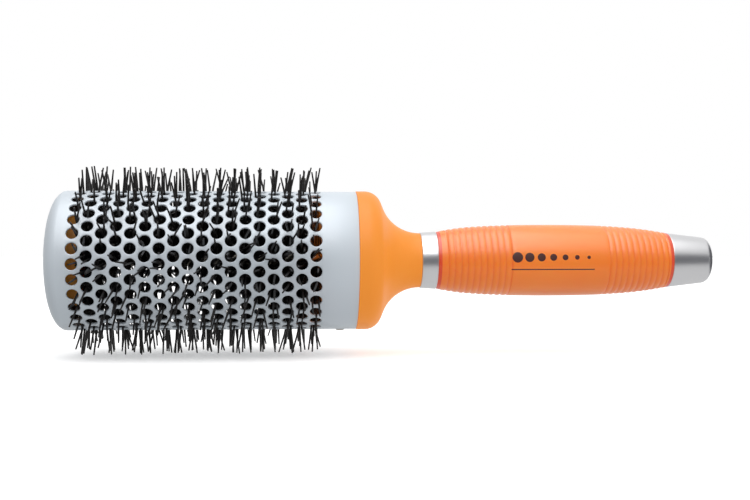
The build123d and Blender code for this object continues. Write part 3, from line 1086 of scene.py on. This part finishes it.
def floor_sheet(shade):
    """A pale level floor under the lowest filament tips, clear from below. Only the camera sees it."""
    bm = bmesh.new()
    bmesh.ops.create_circle(bm, cap_ends=True, segments=96, radius=6.0)
    bmesh.ops.translate(bm, vec=(0, 0, CAD_BOX[0][2]), verts=bm.verts)
    finish = Finish("studio_floor", Specular_IOR_Level=0.0, Emission_Strength=0.35)
    finish.shader.inputs["Emission Color"].default_value = (1.0, 1.0, 1.0, 1)
    finish.mottle(shade, scaled(shade, 0.99), 2.0, 0.9, 0.05)
    facing = finish.nodes.new("ShaderNodeNewGeometry").outputs["Backfacing"]
    finish.links.new(finish.math("SUBTRACT", 1.0, facing), finish.shader.inputs["Alpha"])
    sheet = stage_mesh(bm, "studio_floor", finish.material)
    sheet.visible_diffuse = False
    sheet.visible_glossy = False
    return sheet


def studio_world(settings):
    """White for the camera. As light it is bright above, dimmer below and dimmer in front of the nose."""
    world = bpy.data.worlds.new("studio")
    world.use_nodes = True
    nodes, links = world.node_tree.nodes, world.node_tree.links
    background = nodes["Background"]
    ray = nodes.new("ShaderNodeLightPath")
    direction = nodes.new("ShaderNodeSeparateXYZ")
    links.new(nodes.new("ShaderNodeTexCoord").outputs["Generated"], direction.inputs[0])
    ground = nodes.new("ShaderNodeMapRange")
    ground.inputs["To Min"].default_value = settings.ground
    ground.inputs["To Max"].default_value = settings.table
    links.new(ray.outputs["Is Glossy Ray"], ground.inputs["Value"])
    height = nodes.new("ShaderNodeMapRange")
    height.interpolation_type = "SMOOTHSTEP"
    height.inputs["From Min"].default_value = -0.6
    height.inputs["From Max"].default_value = 0.7
    height.inputs["To Max"].default_value = settings.sky
    links.new(ground.outputs["Result"], height.inputs["To Min"])
    links.new(direction.outputs["Z"], height.inputs["Value"])
    side = nodes.new("ShaderNodeMapRange")
    side.inputs["From Min"].default_value = -1.0
    side.inputs["From Max"].default_value = 0.0
    side.inputs["To Min"].default_value = settings.nose_shade
    links.new(direction.outputs["X"], side.inputs["Value"])
    light = nodes.new("ShaderNodeMath")
    light.operation = "MULTIPLY"
    links.new(height.outputs["Result"], light.inputs[0])
    links.new(side.outputs["Result"], light.inputs[1])
    seen = nodes.new("ShaderNodeMix")
    links.new(ray.outputs["Is Camera Ray"], seen.inputs["Factor"])
    links.new(light.outputs[0], seen.inputs["A"])
    seen.inputs["B"].default_value = 1.0
    links.new(seen.outputs["Result"], background.inputs["Strength"])
    background.inputs["Color"].default_value = (1.0, 1.0, 1.0, 1)
    bpy.context.scene.world = world


def flag_card(name, centre, width, height, facing):
    """A dark card that the camera doesn't see, for a dark edge in the metal's reflections."""
    bm = bmesh.new()
    bmesh.ops.create_grid(bm, x_segments=1, y_segments=1, size=0.5)
    bmesh.ops.scale(bm, vec=(width, height, 1), verts=bm.verts)
    turn = Vector(facing).to_track_quat("Z", "Y").to_matrix()
    bmesh.ops.rotate(bm, cent=(0, 0, 0), matrix=turn, verts=bm.verts)
    bmesh.ops.translate(bm, vec=centre, verts=bm.verts)
    finish = Finish("studio_flag", Specular_IOR_Level=0.0, Roughness=1.0)
    finish.mottle((0.18, 0.185, 0.21), (0.20, 0.205, 0.23), 3.0, 1.0, 0.0)
    card = stage_mesh(bm, name, finish.material)
    card.visible_camera = False
    card.visible_diffuse = False
    card.visible_shadow = False
    return card


def soft_light(name, place, target, size, power):
    """A rectangular soft light that looks at a target."""
    light = bpy.data.lights.new(name, "AREA")
    light.shape = "RECTANGLE"
    light.size, light.size_y = size
    light.energy = power
    lamp = bpy.data.objects.new(name, light)
    lamp.location = place
    lamp.rotation_euler = (Vector(target) - Vector(place)).to_track_quat("-Z", "Y").to_euler()
    bpy.context.scene.collection.objects.link(lamp)
    return lamp


def add_camera(scene, settings):
    """The camera, level and turned a little towards the handle."""
    data = bpy.data.cameras.new("camera")
    data.lens = settings.lens
    data.sensor_width = 36.0
    data.clip_start = 0.01
    camera = bpy.data.objects.new("camera", data)
    turn = settings.turn
    ahead = Vector((sin(turn), cos(turn), 0))
    right = Vector((cos(turn), -sin(turn), 0))
    axes = Matrix((right, (0, 0, 1), -ahead)).transposed()
    place = Vector((settings.beside, -settings.distance, settings.height))
    camera.matrix_world = Matrix.Translation(place) @ axes.to_4x4()
    scene.collection.objects.link(camera)
    scene.camera = camera


class BRUSH_OT_studio(bpy.types.Operator):
    """Set up the floor, the lights and the camera"""

    bl_idname = "brush.studio"
    bl_label = "Studio"

    def execute(self, context):
        scene = context.scene
        settings = scene.brush_studio
        floor_sheet(settings.floor)
        studio_world(settings)
        scene.view_settings.view_transform = "Standard"
        middle = (CAD_BOX[0][0] + CAD_BOX[1][0]) / 2
        soft_light("key", (middle, -0.25, 0.75), (middle, 0, 0), (1.1, 0.7), settings.key)
        sheen = soft_light("sheen", (0.03, -0.23, 0.57), (0.03, 0, 0), (0.6, 1.0), settings.sheen)
        sheen.visible_diffuse = False
        flag_card("flag_front", (middle, -0.9, 0.08), 2.4, 0.82, (0, 1, 0))
        flag_card("flag_end", (0.62, 0.0, 0.05), 0.5, 0.5, (-1, 0, 0))
        add_camera(scene, settings)
        return {"FINISHED"}


OPERATORS = (
    BRUSH_OT_barrel,
    BRUSH_OT_front_plug,
    BRUSH_OT_bristles,
    BRUSH_OT_wire_core,
    BRUSH_OT_neck,
    BRUSH_OT_rivet,
    BRUSH_OT_metal_trim,
    BRUSH_OT_grip,
    BRUSH_OT_studio,
)
GROUPS = {
    "brush_barrel": BarrelSettings,
    "brush_bristles": BristleSettings,
    "brush_handle": HandleSettings,
    "brush_studio": StudioSettings,
}


class BRUSH_PT_panel(bpy.types.Panel):
    """The brush's settings, and a button for each of its pieces"""

    bl_label = "Round Barrel Brush"
    bl_idname = "BRUSH_PT_panel"
    bl_space_type = "VIEW_3D"
    bl_region_type = "UI"
    bl_category = "Brush"

    def draw(self, context):
        for group in GROUPS:
            settings = getattr(context.scene, group)
            box = self.layout.box()
            for name in settings.bl_rna.properties.keys():
                if name not in ("rna_type", "name"):
                    box.prop(settings, name)
        for operator in OPERATORS:
            self.layout.operator(operator.bl_idname)


def register():
    """Register the classes and hang the settings on the scene."""
    for cls in (*GROUPS.values(), *OPERATORS, BRUSH_PT_panel):
        bpy.utils.register_class(cls)
    for name, cls in GROUPS.items():
        setattr(bpy.types.Scene, name, bpy.props.PointerProperty(type=cls))


def unregister():
    """Take everything off again."""
    for name in GROUPS:
        delattr(bpy.types.Scene, name)
    for cls in reversed((*GROUPS.values(), *OPERATORS, BRUSH_PT_panel)):
        bpy.utils.unregister_class(cls)


def main():
    """Build every piece and the studio."""
    register()
    for operator in OPERATORS:
        group, name = operator.bl_idname.split(".")
        getattr(getattr(bpy.ops, group), name)()


if __name__ == "__main__":
    main()
